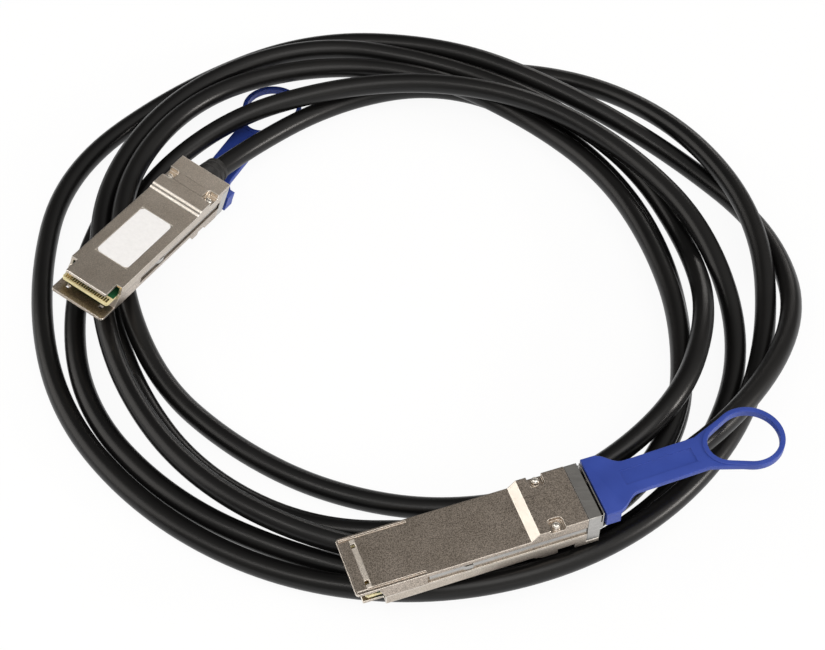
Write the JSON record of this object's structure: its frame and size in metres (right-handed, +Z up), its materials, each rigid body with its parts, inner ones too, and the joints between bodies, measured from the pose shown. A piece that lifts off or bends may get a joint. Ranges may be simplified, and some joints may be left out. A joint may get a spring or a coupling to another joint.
{
  "type": "direct attach copper cable",
  "caption": "Loosely coiled round black cable with a pluggable die-cast plug, contact card and blue pull tab at each end.",
  "frame": {"origin": "middle of the overall outline, on the surface that the coil lies on", "axes": "+Z up off the surface, the shortest way; +X across the coil, its longest way"},
  "size_m": [0.2386, 0.2335, 0.0314],
  "materials": {
    "cast": "matte grey nickel plated casting",
    "card": "printed circuit card",
    "gold": "gold plated",
    "label": "white film",
    "screw": "bright",
    "sheet": "satin",
    "boot": "satin",
    "tab": "satin blue",
    "wire": "insulated pair",
    "chip": "moulded",
    "jacket": "satin black jacket"
  },
  "bodies": {
    "coil_and_plugs": {"base_shell_a": "cast", "cover_shell_a": "cast", "paddle_card_a": "card", "contact_pads_a": "gold", "id_label_a": "label", "cover_screws_a": "screw", "retainer_band_a": "sheet", "strain_relief_a": "boot", "crimp_ferrule_a": "sheet", "wire_pairs_a": "wire", "memory_chip_a": "chip", "base_shell_b": "cast", "cover_shell_b": "cast", "paddle_card_b": "card", "contact_pads_b": "gold", "id_label_b": "label", "cover_screws_b": "screw", "retainer_band_b": "sheet", "strain_relief_b": "boot", "crimp_ferrule_b": "sheet", "wire_pairs_b": "wire", "memory_chip_b": "chip", "cable": "jacket"},
    "latch_a": {"latch_slider_a": "sheet", "pull_tab_a": "tab"},
    "latch_b": {"latch_slider_b": "sheet", "pull_tab_b": "tab"}
  },
  "joints": [
    {"name": "latch_slide_a", "type": "slide", "parent": "coil_and_plugs", "child": "latch_a", "axis": [0.4429, 0.8692, -0.2198], "range_m": [0, 0.002], "stiffness_N_per_m": 600},
    {"name": "latch_slide_b", "type": "slide", "parent": "coil_and_plugs", "child": "latch_b", "axis": [0.9426, 0.3338, 0], "range_m": [0, 0.002], "stiffness_N_per_m": 600}
  ]
}
